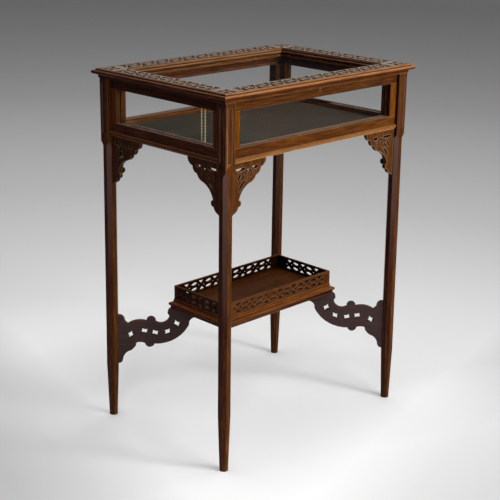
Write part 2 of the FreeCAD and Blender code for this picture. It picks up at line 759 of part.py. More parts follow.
def curved_slot(ends_and_middle, width):
    """A slot of even width with round ends, along the arc through three (x, z) points."""
    start, middle, finish = [Vector(x, 0, z) for x, z in ends_and_middle]
    circle = Part.Arc(start, middle, finish).toShape().Curve
    centre, radius = circle.Center, circle.Radius

    def beside(point, shift):
        return centre + (point - centre) * ((radius + shift) / radius)

    def cap(end, neighbour):
        spoke = (end - centre).normalize()
        outward = Vector(-spoke.z, 0, spoke.x)
        if outward.dot(end - neighbour) < 0:
            outward = -outward
        return end + outward * half

    half = width / 2
    edges = [
        Part.Arc(beside(start, half), beside(middle, half), beside(finish, half)).toShape(),
        Part.Arc(beside(finish, half), cap(finish, middle), beside(finish, -half)).toShape(),
        Part.Arc(beside(finish, -half), beside(middle, -half), beside(start, -half)).toShape(),
        Part.Arc(beside(start, -half), cap(start, middle), beside(start, half)).toShape(),
    ]
    return Part.Wire(edges)


def crescent(start, middle, finish, width):
    """A pointed slot between two (x, z) points, widest at the middle of its bow."""
    run, fall = finish[0] - start[0], finish[1] - start[1]
    half = width / 2 / math.hypot(run, fall)
    outer = (middle[0] - fall * half, middle[1] + run * half)
    inner = (middle[0] + fall * half, middle[1] - run * half)
    return wire_through([start, outer + finish, inner + start])


def round_hole(x, z, radius):
    return Part.Wire(Part.Circle(Vector(x, 0, z), Vector(0, 1, 0), radius).toShape())


def build_bracket(label, leg, right, back, along_x):
    """C-scroll spandrel between a leg and the base moulding, pierced with scrolls."""
    wide, tall = value("bracket_reach") / 91, value("bracket_drop") / 102

    def spot(reach, drop):
        return reach * wide, -drop * tall

    def arc(middle, end):
        return spot(*middle) + spot(*end)

    # the leg's edge starts inside the leg and is trimmed to it
    outline = wire_through([
        spot(-4, 0), spot(91, 0), spot(91, 2),
        arc((86.5, 12.5), (76.5, 17.5)),
        arc((73.5, 26), (64, 31)),
        arc((59, 38.5), (49, 44)),
        arc((29.5, 55.5), (18.8, 74.5)),
        arc((24.6, 81), (17, 87.5)),
        arc((13, 95), (6.5, 99)),
        arc((3.5, 101), (0, 102)),
        spot(-4, 102),
    ])
    holes = [
        wire_through([spot(10, 12.6), spot(34.5, 12.2), arc((31, 16.6), (24.8, 18.8)),
                      arc((17, 18), (10, 15.4))]),
        crescent(spot(23.3, 21.5), spot(18.2, 29.6), spot(15.3, 38), 4.6),
        crescent(spot(33.6, 27), spot(28.2, 31.6), spot(23.3, 37.7), 4.2),
        crescent(spot(36.7, 38), spot(25.4, 45.6), spot(19.3, 58.3), 5.2),
        curved_slot([spot(35.9, 25.8), spot(43.3, 18), spot(48, 31)], 3.3),
        wire_through([spot(54, 12.8), spot(67.5, 12.2), arc((66.5, 17), (61.5, 18.8)),
                      arc((56.5, 17.4), (54, 12.8))]),
        round_hole(*spot(38, 34.5), 1.5 * wide),
        round_hole(*spot(55.5, 23.5), 1.5 * wide),
    ]
    board = plate(outline, holes, value("bracket_thickness"))
    inner_x, inner_y = value("case_width / 2 - post_size"), value("case_depth / 2 - post_size")
    base = value(BASE_BOTTOM)
    if along_x:
        spin = 0 if right < 0 else 180
        origin = Vector(right * inner_x, back * value(POST_Y), base)
    else:
        spin = 90 if back < 0 else 270
        origin = Vector(right * value(POST_X), back * inner_y, base)
    return shaped(label, carried(board, origin, spin).cut(leg.Shape))


for corner, (right, back, _) in LEGS.items():
    pair = [build_bracket(f"bracket_{corner}_{way}", legs[corner], right, back, along_x)
            for way, along_x in (("long", True), ("short", False))]
    group(f"brackets_{corner}", pair)


# ------------------------------------------------------------------ tray

tray_board = box("tray_board", "tray_width", "tray_depth", "board_thickness")
place(tray_board, "-tray_width / 2", "-tray_depth / 2", "tray_floor - board_thickness")


def build_tray_edge(side):
    """Mitred edge strip: cavetto and ovolo outside, a shelf under the board."""
    length = along(side, "tray_width + 2 * tray_edge_projection",
                   "tray_depth + 2 * tray_edge_projection")
    face = "tray_edge_projection"
    under = "tray_floor - board_thickness"
    roll = "tray_edge_projection * 0.55"
    upper = "tray_floor - tray_edge_height * 0.12"
    waist = "tray_floor - tray_edge_height * 0.34"
    nose = "tray_floor - tray_edge_height * 0.42"
    lower = f"{nose} - 1.3 * ({roll})"
    edge = strip(f"tray_edge_{side}", [
        (face, "tray_floor"),
        (f"{face} - tray_edge_step / 2", "tray_floor"),
        (f"{face} - tray_edge_step / 2", upper, f"({upper} - ({waist})) * 1.05", -1),
        (f"{face} - ({roll})", waist),
        ("0", f"{nose} + tray_edge_step * 0.3", f"({roll}) * 0.78", 1),
        ("tray_edge_step * 0.2", lower),
        ("tray_edge_step", lower),
        ("tray_edge_step", TRAY_BOTTOM),
        (f"{face} + tray_edge_shelf", TRAY_BOTTOM),
        (f"{face} + tray_edge_shelf", under),
        (face, under),
    ], f"({length})")
    mitre(edge, f"({length})", f"({face} + tray_edge_shelf)")
    place_on_side(edge, side, "tray_width + 2 * tray_edge_projection",
                  "tray_depth + 2 * tray_edge_projection")
    return edge


group("tray_edges", [build_tray_edge(side) for side in SIDES])


def fret_cross(x, z, width, height):
    """Openings round a diagonal cross: triangles above and below, lozenges at the sides."""
    holes = []
    for sign in (-1, 1):
        base = z + sign * height / 2
        holes.append(wire_through([
            (x - width * 0.4, base), (x + width * 0.4, base), (x, z + sign * height * 0.14)]))
        outer, inner = x + sign * width * 0.45, x + sign * width * 0.13
        holes.append(wire_through([
            (outer, z - height * 0.13), (outer, z + height * 0.13), (inner, z)]))
    return holes


def fret_ovals(x, z, width, height):
    """Two pointed ovals, one above the other."""
    holes = []
    for sign in (-1, 1):
        middle = z + sign * height * 0.27
        left, right = (x - width * 0.48, middle), (x + width * 0.48, middle)
        rise = height * 0.16
        holes.append(wire_through([left, (x, middle + rise) + right, (x, middle - rise) + left]))
    return holes


def build_gallery_panel(length, crosses):
    """Pierced strapwork panel: crosses and paired ovals in turn, two dots at each end."""
    height, end, motif = value("gallery_height"), value("gallery_end"), value("gallery_fret")
    outline = wire_through([(-length / 2, 0), (length / 2, 0), (length / 2, height),
                            (-length / 2, height)])
    fret_height = height * 0.74
    pitch = (length - 2 * end - motif) / (crosses - 1)
    first = -(crosses - 1) / 2 * pitch
    holes = []
    for number in range(crosses):
        x = first + number * pitch
        holes += fret_cross(x, height / 2, motif, fret_height)
        if number < crosses - 1:
            holes += fret_ovals(x + pitch / 2, height / 2, pitch - motif + 2, fret_height)
    for side in (-1, 1):
        for shift in (-0.2, 0.2):
            holes.append(round_hole(side * (length / 2 - end * 0.55), height * (0.5 + shift),
                                    height * 0.075))
    return plate(outline, holes, value("gallery_thickness"))


def build_galleries():
    """Long panels run the full width, short ones fit between them."""
    wide, deep = value("tray_width"), value("tray_depth")
    thick, floor = value("gallery_thickness"), value("tray_floor")
    long_panels, short_panels = [], []
    for sign, name in ((-1, "front"), (1, "back")):
        panel = build_gallery_panel(wide, 7)
        place_vector = Vector(0, sign * (deep - thick) / 2, floor)
        long_panels.append(shaped(f"gallery_{name}", carried(panel, place_vector)))
    for sign, name in ((-1, "left"), (1, "right")):
        panel = build_gallery_panel(deep - 2 * thick, 3)
        place_vector = Vector(sign * (wide - thick) / 2, 0, floor)
        short_panels.append(shaped(f"gallery_{name}", carried(panel, place_vector, 90)))
    group("tray_gallery_long", long_panels)
    group("tray_gallery_short", short_panels)


build_galleries()


# ------------------------------------------------------------------ stretchers

def star(x, z, radius, turn):
    """A four-pointed star with hollow sides."""
    def polar(reach, angle):
        return x + reach * math.cos(angle), z + reach * math.sin(angle)

    steps = [polar(radius, turn)]
    for quarter in range(4):
        angle = turn + quarter * math.pi / 2
        steps.append(polar(radius * 0.5, angle + math.pi / 4)
                     + polar(radius, angle + math.pi / 2))
    return wire_through(steps)


def build_stretcher(leg_body, right, back):
    """S-scroll board on the slant from a leg's inner face to under the tray's corner."""
    out = value(lean("(stretcher_foot + stretcher_head) / 2"))
    leg = Vector(right * (value(POST_X) + out), back * (value(POST_Y) + out), 0)
    tray = Vector(right * value("tray_width / 2"), back * value("tray_depth / 2"), 0)
    inward = (tray - leg).normalize()
    face = value("leg_size / 2")
    span = ((tray - leg).Length - face) / 119
    foot, head = value("stretcher_foot"), value("stretcher_head")
    rise = (head - foot) / 111.5
    top = value(TRAY_BOTTOM)
    bar = top - value("stretcher_bar")
    # the bar ends where it meets its mate on the middle line of the tray
    end = leg.y / -inward.y

    def spot(reach, height):
        return face + reach * span, foot + height * rise

    def arc(middle, finish):
        return spot(*middle) + spot(*finish)

    ear, ear_height = spot(112.6, 121.2)
    ear_radius = top - ear_height
    cusp = spot(107.9, 114.3)
    easing, bar_start = spot(155.5, 0)[0], spot(166, 0)[0]
    outline = wire_through([
        spot(-4, 0), spot(0, 0),
        arc((5.4, 1.8), (9.2, 9.6)),
        arc((13.3, 20.6), (20.5, 28.2)),
        arc((28.5, 32.2), (34.9, 39.2)),
        arc((37.6, 43.4), (37.1, 48.5)),
        arc((46.6, 50.6), (56.6, 48.8)),
        arc((66.5, 39.6), (76.4, 47.4)),
        arc((122.6, 61.1), (149.6, 93.1)),
        (easing, bar - value("stretcher_easing"), bar_start, bar),
        (end + value("stretcher_thickness"), bar),
        (end + value("stretcher_thickness"), top),
        (ear, top),
        (ear - ear_radius * 0.96, ear_height + ear_radius * 0.2) + cusp,
        arc((97.5, 96.8), (79.4, 98)),
        arc((69.5, 109), (59.6, 99)),
        arc((40, 100.4), (21, 92.4)),
        arc((16.6, 95.6), (14, 101)),
        arc((8.6, 110), (0, 111.5)),
        spot(-4, 111.5),
    ])
    stars = [(123.7, 94.5, 0.33), (104, 75.4, 1.05), (78, 72.4, 0.55), (55.6, 76.1, 0.6),
             (26.3, 67.3, 1.24)]
    radius = value("star_radius") * min(span, rise)
    holes = [star(*spot(x, z), radius, turn) for x, z, turn in stars]
    board = plate(outline, holes, value("stretcher_thickness"))
    heading = math.degrees(math.atan2(inward.y, inward.x))
    board = carried(board, leg, heading)
    # trimmed to the leg and to the middle line of the tray
    far = value("case_width")
    beyond = block(Vector(-far, 0, 0), Vector(far, far, top + 1))
    if back > 0:
        beyond.translate(Vector(0, -far, 0))
    return board.cut(leg_body.Shape).cut(beyond)


for corner, (right, back, _) in LEGS.items():
    shaped(f"stretcher_{corner}", build_stretcher(legs[corner], right, back))


# ------------------------------------------------------------------ stay chain

def chain_layout():
    """Ends of the four straight runs, each as (x, y, z), with the lid shut."""
    rail_inner = value(f"case_width / 2 - {RAIL_BACK}")
    first_x = -rail_inner + value("chain_inset")
    second_x = first_x + value("chain_spacing")
    case_eye = Vector(first_x, value("-chain_case_eye"), value("case_height - eye_drop"))
    lid_eye = Vector(second_x, value("-chain_lid_eye"), value(f"{LID_BOTTOM} - eye_drop"))
    hinge = Vector(0, value(HINGE_Y), value(HINGE_Z))
    floor = value(f"{VELVET_TOP} + chain_radius + chain_clearance")
    # the lid eye's place when the lid stands open
    reach_y, reach_z = lid_eye.y - hinge.y, lid_eye.z - hinge.z
    swing = -math.radians(value("lid_opening"))
    open_y = hinge.y + reach_y * math.cos(swing) - reach_z * math.sin(swing)
    open_z = hinge.z + reach_y * math.sin(swing) + reach_z * math.cos(swing)
    total = math.hypot(open_y - case_eye.y, open_z - case_eye.z)
    hanging = (case_eye.z - floor) + (lid_eye.z - floor)
    back_y = case_eye.y + (total - hanging - (case_eye.y - lid_eye.y)) / 2
    return [
        (case_eye, Vector(first_x, case_eye.y, floor)),
        (Vector(first_x, case_eye.y, floor), Vector(first_x, back_y, floor)),
        (Vector(second_x, lid_eye.y, floor), Vector(second_x, back_y, floor)),
        (lid_eye, Vector(second_x, lid_eye.y, floor)),
    ]


def chain_run(start, finish):
    """A round bar with round ends, a little short of both joints."""
    radius = value("chain_radius")
    heading = (finish - start).normalize()
    end_gap = radius * 1.7
    low, high = start + heading * end_gap, finish - heading * end_gap
    bar = Part.makeCylinder(radius, (high - low).Length, low, heading)
    return bar.fuse([Part.makeSphere(radius, low), Part.makeSphere(radius, high)]).removeSplitter()


def eye_shape(foot, direction, end):
    """A screw eye: a round plate, a stem and a ring just clear of the chain's end."""
    ring_radius = value("chain_radius") * 0.4
    rose = Part.makeCylinder(value("eye_plate_radius"), value("eye_plate_thickness"), foot,
                             direction)
    stem = Part.makeCylinder(ring_radius, (end - foot).Length - ring_radius, foot, direction)
    ring = Part.makeTorus(ring_radius, ring_radius * 0.5, end, Vector(0, 1, 0))
    return rose.fuse([stem, ring]).removeSplitter()


runs = chain_layout()
for number, (start, finish) in enumerate(runs, start=1):
    shaped(f"stay_chain_{number}", chain_run(start, finish))
case_eye, lid_eye = runs[0][0], runs[3][0]
case_foot = Vector(value(f"-case_width / 2 + {RAIL_BACK}"), case_eye.y, case_eye.z)
lid_foot = Vector(lid_eye.x, lid_eye.y, value(LID_BOTTOM))
shaped("chain_eye_case", eye_shape(case_foot, Vector(1, 0, 0), case_eye))
shaped("chain_eye_lid", eye_shape(lid_foot, -UP, lid_eye))


# ------------------------------------------------------------------ write the pieces

NODES = (
    [f"leg_{corner}" for corner in LEGS]
    + [f"upper_rail_{side}" for side in SIDES]
    + [f"lower_rail_{side}" for side in SIDES]
    + [f"glass_{side}" for side in SIDES]
    + ["base_moulding", "glazing_stiles", "case_glazing_beads", "floor_board", "velvet_lining"]
    + [f"lid_rail_{side}" for side in SIDES]
    + ["lid_glass", "lid_glazing_beads"]
    + ["hinge_case_leaves", "hinge_lid_leaves", "hinge_pins", "hinge_case_screws",
       "hinge_lid_screws"]
    + ["lock_case", "lock_bolt", "lock_screws", "escutcheon", "strike_plate", "strike_screws"]
    + [f"brackets_{corner}" for corner in LEGS]
    + ["tray_board", "tray_edges", "tray_gallery_long", "tray_gallery_short"]
    + [f"stretcher_{corner}" for corner in LEGS]
    + [f"stay_chain_{number}" for number in range(1, 5)]
    + ["chain_eye_case", "chain_eye_lid"]
)

doc.recompute()
for item in doc.Objects:
    if "Invalid" in item.State or "Error" in item.State:
        raise RuntimeError(f"{item.Label} failed: {item.State}")
labelled = {item.Label: item for item in doc.Objects}
for node in NODES:
    shape = labelled[node].Shape
    if shape.isNull() or not shape.isValid() or not shape.Solids:
        raise RuntimeError(f"{node} has no sound solid")
for node in NODES:
    labelled[node].Shape.exportStep(f"parts/{node}.step")
    print(node, len(labelled[node].Shape.Solids), round(labelled[node].Shape.Volume / 1000, 2))
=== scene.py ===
"""Looks of the glazed display table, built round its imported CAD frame.

Metres, in the frame of the part: +Z up, front towards -Y, origin on the floor between the feet.
"""

import json
import math
import random

import bmesh
import bpy
from mathutils import Matrix, Vector, noise

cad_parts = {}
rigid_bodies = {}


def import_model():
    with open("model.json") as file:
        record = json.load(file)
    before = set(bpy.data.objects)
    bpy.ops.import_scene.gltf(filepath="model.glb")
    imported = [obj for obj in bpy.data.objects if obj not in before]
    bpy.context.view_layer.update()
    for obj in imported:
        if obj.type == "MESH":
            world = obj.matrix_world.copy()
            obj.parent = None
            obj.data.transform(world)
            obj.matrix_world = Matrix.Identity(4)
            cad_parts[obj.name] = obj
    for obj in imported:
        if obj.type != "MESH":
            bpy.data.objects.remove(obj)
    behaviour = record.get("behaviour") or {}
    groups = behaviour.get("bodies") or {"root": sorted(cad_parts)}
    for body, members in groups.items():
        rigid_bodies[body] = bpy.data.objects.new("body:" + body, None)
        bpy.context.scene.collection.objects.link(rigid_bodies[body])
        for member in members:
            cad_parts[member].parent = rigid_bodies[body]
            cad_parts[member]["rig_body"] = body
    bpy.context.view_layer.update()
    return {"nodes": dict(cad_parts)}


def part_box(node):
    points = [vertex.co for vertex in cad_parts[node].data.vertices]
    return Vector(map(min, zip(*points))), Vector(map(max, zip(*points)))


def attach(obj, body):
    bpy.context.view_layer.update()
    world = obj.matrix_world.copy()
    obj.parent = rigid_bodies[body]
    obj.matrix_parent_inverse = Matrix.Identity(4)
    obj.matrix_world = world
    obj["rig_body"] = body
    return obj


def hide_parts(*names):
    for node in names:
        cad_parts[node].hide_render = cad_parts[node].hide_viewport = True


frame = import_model()

MM = 0.001
QUARTER = math.pi / 2
NODES = frame["nodes"]
CORNERS = ("front_left", "front_right", "back_right", "back_left")
OUTWARD = {
    "front": Vector((0, -1, 0)),
    "right": Vector((1, 0, 0)),
    "back": Vector((0, 1, 0)),
    "left": Vector((-1, 0, 0)),
}
rng = random.Random(7)


# ------------------------------------------------------------------ objects and meshes

def add_object(name, data):
    thing = bpy.data.objects.new(name, data)
    bpy.context.scene.collection.objects.link(thing)
    return thing


def mesh_of(bm, name):
    """A mesh with what the bmesh holds; the bmesh is freed."""
    mesh = bpy.data.meshes.new(name)
    bm.to_mesh(mesh)
    bm.free()
    return mesh


def shade_smooth(mesh, sharp_from=None):
    """Smooth shading, except across edges sharper than an angle."""
    for polygon in mesh.polygons:
        polygon.use_smooth = True
    if sharp_from:
        mesh.set_sharp_from_angle(angle=sharp_from)


# ------------------------------------------------------------------ camera

LENS = 84.99                                             # mm
SENSOR = 36                                              # mm, its width
CAMERA_PLACE = Vector((-1.7286, -1.7234, 1.1655))
CAMERA_AZIMUTH = math.radians(-44.880)
CAMERA_ELEVATION = math.radians(18.074)
CAMERA_ROLL = math.radians(0.793)


def make_camera():
    data = bpy.data.cameras.new("camera")
    data.lens = LENS
    data.sensor_width = SENSOR
    camera = add_object("camera", data)
    level = math.cos(CAMERA_ELEVATION)
    back = Vector((math.sin(CAMERA_AZIMUTH) * level, -math.cos(CAMERA_AZIMUTH) * level,
                   math.sin(CAMERA_ELEVATION)))
    right = Vector((math.cos(CAMERA_AZIMUTH), math.sin(CAMERA_AZIMUTH), 0))
    up = back.cross(right)
    rolled_right = right * math.cos(CAMERA_ROLL) + up * math.sin(CAMERA_ROLL)
    rolled_up = back.cross(rolled_right)
    turn = Matrix((rolled_right, rolled_up, back)).transposed().to_4x4()
    camera.matrix_world = Matrix.Translation(CAMERA_PLACE) @ turn
    bpy.context.scene.camera = camera
    bpy.context.scene.view_settings.view_transform = "Standard"


# ------------------------------------------------------------------ shader nodes

def new_material(name):
    material = bpy.data.materials.new(name)
    material.use_nodes = True
    return material, material.node_tree, material.node_tree.nodes["Principled BSDF"]


def plug(tree, node, inputs):
    """Fills a node's inputs, each with a plain value or another node's output."""
    for name, given in inputs.items():
        if isinstance(given, bpy.types.NodeSocket):
            tree.links.new(given, node.inputs[name])
        else:
            node.inputs[name].default_value = given


def add_node(tree, kind, inputs=None, **settings):
    made = tree.nodes.new(kind)
    for name, setting in settings.items():
        setattr(made, name, setting)
    plug(tree, made, inputs or {})
    return made


def rgba(colour):
    """A colour as an input takes it: a number is a grey, a triple is opaque, an output stays."""
    if isinstance(colour, bpy.types.NodeSocket):
        return colour
    if isinstance(colour, (int, float)):
        return (colour, colour, colour, 1)
    return (*colour, 1)


def ramp(tree, factor, stops):
    """Colours along a factor; each stop is (place, colour)."""
    made = add_node(tree, "ShaderNodeValToRGB", {"Fac": factor})
    elements = made.color_ramp.elements
    while len(elements) < len(stops):
        elements.new(1)
    for element, (place, colour) in zip(elements, stops):
        element.position = place
        element.color = rgba(colour)
    return made.outputs["Color"]


def blend(tree, kind, factor, first, second):
    """Two colours blended; a colour Mix node has its factor at 0, its colours at 6 and 7."""
    made = add_node(tree, "ShaderNodeMix", data_type="RGBA", blend_type=kind)
    plug(tree, made, {0: factor, 6: rgba(first), 7: rgba(second)})
    return made.outputs[2]


def times(tree, first, second, share=1):
    """A colour or mask multiplied by another, fully or by a share."""
    return blend(tree, "MULTIPLY", share, first, second)


def mapped(tree, value, start, end, first=0, last=1):
    """A value that goes from first to last as the given one goes from start to end."""
    made = add_node(tree, "ShaderNodeMapRange", {
        "Value": value, "From Min": start, "From Max": end, "To Min": first, "To Max": last})
    return made.outputs["Result"]


def maths(tree, operation, *values):
    made = add_node(tree, "ShaderNodeMath", dict(enumerate(values)), operation=operation)
    return made.outputs["Value"]


def vector_maths(tree, operation, first, second):
    """The node of one operation on two vectors, with a Vector and a Value output."""
    return add_node(tree, "ShaderNodeVectorMath", {0: first, 1: second}, operation=operation)


def dot(tree, first, second):
    return vector_maths(tree, "DOT_PRODUCT", first, second).outputs["Value"]


def parts_of(tree, vector):
    """The X, Y and Z outputs of a vector."""
    return add_node(tree, "ShaderNodeSeparateXYZ", {0: vector}).outputs


def object_place(tree):
    return add_node(tree, "ShaderNodeTexCoord").outputs["Object"]


def noise_of(tree, vector, scale, detail=3, roughness=0.55, distortion=0):
    made = add_node(tree, "ShaderNodeTexNoise", {
        "Vector": vector, "Scale": scale, "Detail": detail, "Roughness": roughness,
        "Distortion": distortion})
    return made.outputs["Fac"]


def bump_of(tree, height, strength, depth):
    """A normal that follows a height, up to a depth in metres."""
    made = add_node(tree, "ShaderNodeBump", {
        "Height": height, "Strength": strength, "Distance": depth})
    return made.outputs["Normal"]


def stretched(tree, grain, squeeze):
    """Places moved by their board's offset, turned so that the grain runs along X and drawn out."""
    board = add_node(tree, "ShaderNodeAttribute", attribute_name="board").outputs["Vector"]
    moved = vector_maths(tree, "ADD", object_place(tree), board).outputs["Vector"]
    turned = add_node(tree, "ShaderNodeMapping", {"Vector": moved, "Rotation": grain})
    drawn = add_node(tree, "ShaderNodeMapping", {
        "Vector": turned.outputs["Vector"], "Scale": (squeeze, 1, 1)})
    return drawn.outputs["Vector"]


# ------------------------------------------------------------------ mahogany

LIGHT_SIDE = Vector((0.3, -0.6, 0.74)).normalized()        # the side turned to the lamps, painted lighter
GRAINS = {                                               # turns that bring each grain to X
    "x": (0, 0, 0),
    "y": (0, 0, -QUARTER),
    "z": (0, QUARTER, 0),
}

# Colours along the figure's noise, from its darkest streaks to its palest: the wood, a painted lit
# copy of it for faces turned to the lamps, and a painted highlight for faces turned up to them.
SHADED_WAX = ((0.30, (0.016, 0.004, 0.002)), (0.48, (0.038, 0.010, 0.005)),
            (0.60, (0.060, 0.017, 0.007)), (0.76, (0.092, 0.030, 0.012)))
LIT_WAX = ((0.30, (0.055, 0.015, 0.003)), (0.48, (0.105, 0.031, 0.005)),
             (0.60, (0.145, 0.046, 0.007)), (0.76, (0.200, 0.074, 0.013)))
TOP_HIGHLIGHT_WAX = ((0.30, (0.20, 0.085, 0.030)), (0.70, (0.38, 0.19, 0.080)))

PORE = (0.020, 0.007, 0.004)
# Painted light: a sheen on slanting faces, a highlight along rims, a grey sheen over whole boards,
# and a sheen on level tops of the case and of the lid.
CHAMFER_SHEEN = (0.22, 0.12, 0.10)
EDGE_HIGHLIGHT = (0.36, 0.23, 0.145)
GREY_SHEEN = (0.075, 0.062, 0.062)
CASE_TOP_SHEEN = (0.095, 0.070, 0.057)
LID_TOP_SHEEN = (0.31, 0.265, 0.225)
HOLLOW_REACH = 5 * MM                                    # faces this near each other make a hollow
INNER_FROM = 30 * MM                                     # off the middle, for faces turned to it
SAMPLES = 6                                              # for hollows and rims


def wax_colour(tree, grain, figure, pores, toward_light, exposed, worn_top):
    """The wood itself: dark wax, a painted paler gold where faces turn to the lamps, and a painted
    highlight on faces turned up to them.
    """
    sunlit = ramp(tree, toward_light, [(0.05, 0), (0.5, 1)])
    colour = blend(tree, "MIX", sunlit, ramp(tree, figure, SHADED_WAX), ramp(tree, figure, LIT_WAX))
    highlighted = times(tree, ramp(tree, toward_light, [(0.63, 0), (0.88, worn_top)]), exposed)
    colour = blend(tree, "MIX", highlighted, colour, ramp(tree, figure, TOP_HIGHLIGHT_WAX))
    bands = noise_of(tree, stretched(tree, grain, 0.07), 36, 3, 0.5, 1.2)
    colour = times(tree, colour, ramp(tree, bands, [(0.35, 0.74), (0.62, 1.12)]), 0.4)
    patches = noise_of(tree, stretched(tree, grain, 0.3), 11)
    colour = times(tree, colour, ramp(tree, patches, [(0.35, 0.66), (0.65, 1.12)]), 0.6)
    return blend(tree, "MIX", times(tree, pores, 0.55), colour, PORE)


def chamfer_sheen_mask(tree, place, facing):
    """A mask of upright faces turned halfway between two sides, stronger higher up, for a painted
    sheen.
    """
    sides = parts_of(tree, facing)
    slant = maths(tree, "ABSOLUTE", maths(tree, "MULTIPLY", sides["X"], sides["Y"]))
    height = parts_of(tree, place)["Z"]
    return times(tree, ramp(tree, slant, [(0.3, 0), (0.48, 0.55)]),
                 ramp(tree, height, [(0.3, 0), (0.62, 1)]))


def lit_rim_mask(tree, width, exposed, toward_light):
    """A mask of a rim along the edges, where a rounded normal leaves the true one, for a painted
    highlight that is stronger on the lit side.
    """
    rounded = add_node(tree, "ShaderNodeBevel", {"Radius": width}, samples=SAMPLES)
    flat = add_node(tree, "ShaderNodeNewGeometry")
    likeness = dot(tree, rounded.outputs["Normal"], flat.outputs["Normal"])
    rim = times(tree, ramp(tree, likeness, [(0.78, 0.8), (0.995, 0)]), exposed)
    return times(tree, rim, ramp(tree, toward_light, [(0.05, 0.15), (0.4, 1)]))


def turned_inward(tree, place, facing):
    """A mask of the faces turned to the table's upright middle line."""
    level = vector_maths(tree, "MULTIPLY", place, (1, 1, 0)).outputs["Vector"]
    return mapped(tree, dot(tree, level, facing), 0, -INNER_FROM)


def mahogany(name, grain, tint=(1, 1, 1), inner=(1, 1, 1), dust=0.8, dust_colour=CASE_TOP_SHEEN,
             worn_top=1, grey_sheen=0, edge=1.2 * MM, edge_colour=EDGE_HIGHLIGHT, hollow=0.16):
    """Waxed mahogany: fine streaks and pores, a painted lit side in paler gold, a painted highlight
    on top.

    tint multiplies the whole colour, and inner the faces turned to the middle of the table as a
    painted shade.
    dust is how much of a painted sheen lies on level faces, in dust_colour, worn_top how strong a
    painted highlight is on faces turned up to the lamps, and grey_sheen how grey a painted sheen
    makes the whole board.
    A painted highlight in edge_colour lies on a rim as wide as edge, and hollow is how light the
    hollows stay in painted shade.
    """
    material, tree, shader = new_material(name)
    place = object_place(tree)
    facing = add_node(tree, "ShaderNodeTexCoord").outputs["Normal"]
    toward_light = dot(tree, facing, LIGHT_SIDE)
    openness = add_node(tree, "ShaderNodeAmbientOcclusion", {"Distance": HOLLOW_REACH},
                        samples=SAMPLES, only_local=True).outputs["AO"]
    exposed = ramp(tree, openness, [(0.6, 0), (0.95, 1)])
    figure = noise_of(tree, stretched(tree, grain, 0.07), 340, 4, 0.55, 0.4)
    pores = noise_of(tree, stretched(tree, grain, 0.035), 1500, 2, 0.5)
    pores = ramp(tree, pores, [(0.60, 0), (0.68, 1)])

    colour = wax_colour(tree, grain, figure, pores, toward_light, exposed, worn_top)
    # Painted sheen on the slanting faces.
    colour = blend(tree, "MIX", chamfer_sheen_mask(tree, place, facing), colour, CHAMFER_SHEEN)
    # A painted grey sheen over the whole board.
    colour = blend(tree, "MIX", grey_sheen, colour, GREY_SHEEN)
    # A painted sheen on open level faces.
    level = ramp(tree, parts_of(tree, facing)["Z"], [(0.93, 0), (0.99, dust)])
    colour = blend(tree, "MIX", times(tree, level, exposed), colour, dust_colour)
    # A painted highlight along the rims, stronger on the side turned to the lamps.
    colour = blend(tree, "MIX", lit_rim_mask(tree, edge, exposed, toward_light), colour, edge_colour)
    # Painted shade in the hollows.
    colour = times(tree, colour, ramp(tree, openness, [(0.35, hollow), (0.85, 1)]))
    # Painted shade on the faces turned to the middle of the table.
    colour = times(tree, colour, inner, turned_inward(tree, place, facing))
    colour = times(tree, colour, tint)

    smears = noise_of(tree, stretched(tree, grain, 0.3), 40, 4)
    relief = blend(tree, "MIX", 0.35, figure, blend(tree, "SUBTRACT", 1, 1, pores))
    plug(tree, shader, {
        "Base Color": colour,
        "Roughness": mapped(tree, smears, 0, 1, 0.20, 0.36),
        "Specular IOR Level": 0.04,
        "Normal": bump_of(tree, relief, 0.22, 0.4 * MM)})
    return material


def family(name, tint=(1, 1, 1), short=1, **settings):
    """One kind of mahogany along each of the three axes; short dims the boards along y, a painted
    shade on the sides.
    """
    tints = dict.fromkeys(GRAINS, tint) | {"y": [part * short for part in tint]}
    return {axis: mahogany(f"mahogany_{name}_{axis}", turn, tints[axis], **settings)
            for axis, turn in GRAINS.items()}


WOOD = {axis: mahogany(f"mahogany_{axis}", turn) for axis, turn in GRAINS.items()}


def diagonal(corner):
    """Mahogany with its grain along a corner's stretcher, level on the slant, greyed by a painted
    sheen, with no painted sheen or highlight on top.
    """
    low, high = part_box(f"stretcher_{corner}")
    across = high - low
    angle = math.atan2(across.y, across.x)
    if corner in ("front_right", "back_left"):           # these two slant the other way
        angle = -angle
    wood = mahogany(f"mahogany_{corner}", (0, 0, -angle), tint=(0.85, 0.85, 0.93), dust=0,
                    worn_top=0, grey_sheen=0.5, edge=0.1 * MM)
    return dict.fromkeys(GRAINS, wood)


# ------------------------------------------------------------------ brass, steel, glass, velvet

def brass(name, colour, dull_share=0.45):
    """Old brass: dull patches that keep a share of the colour, and fine scratches."""
    material, tree, shader = new_material(name)
    polish = noise_of(tree, object_place(tree), 260, 4, 0.6)
    scratches = noise_of(tree, stretched(tree, GRAINS["x"], 0.04), 2600, 2)
    dull = [part * dull_share for part in colour]
    plug(tree, shader, {
        "Base Color": ramp(tree, polish, [(0.38, dull), (0.62, colour)]),
        "Metallic": 1,
        "Roughness": mapped(tree, polish, 0.3, 0.7, 0.48, 0.26),
        "Normal": bump_of(tree, scratches, 0.15, 0.1 * MM)})
    return material


def bright_steel():
    material, tree, shader = new_material("bright_steel")
    lines = noise_of(tree, stretched(tree, GRAINS["z"], 0.03), 3000, 2)
    plug(tree, shader, {
        "Base Color": ramp(tree, lines, [(0.3, 0.34), (0.7, 0.6)]),
        "Metallic": 1,
        "Roughness": 0.35})
    return material


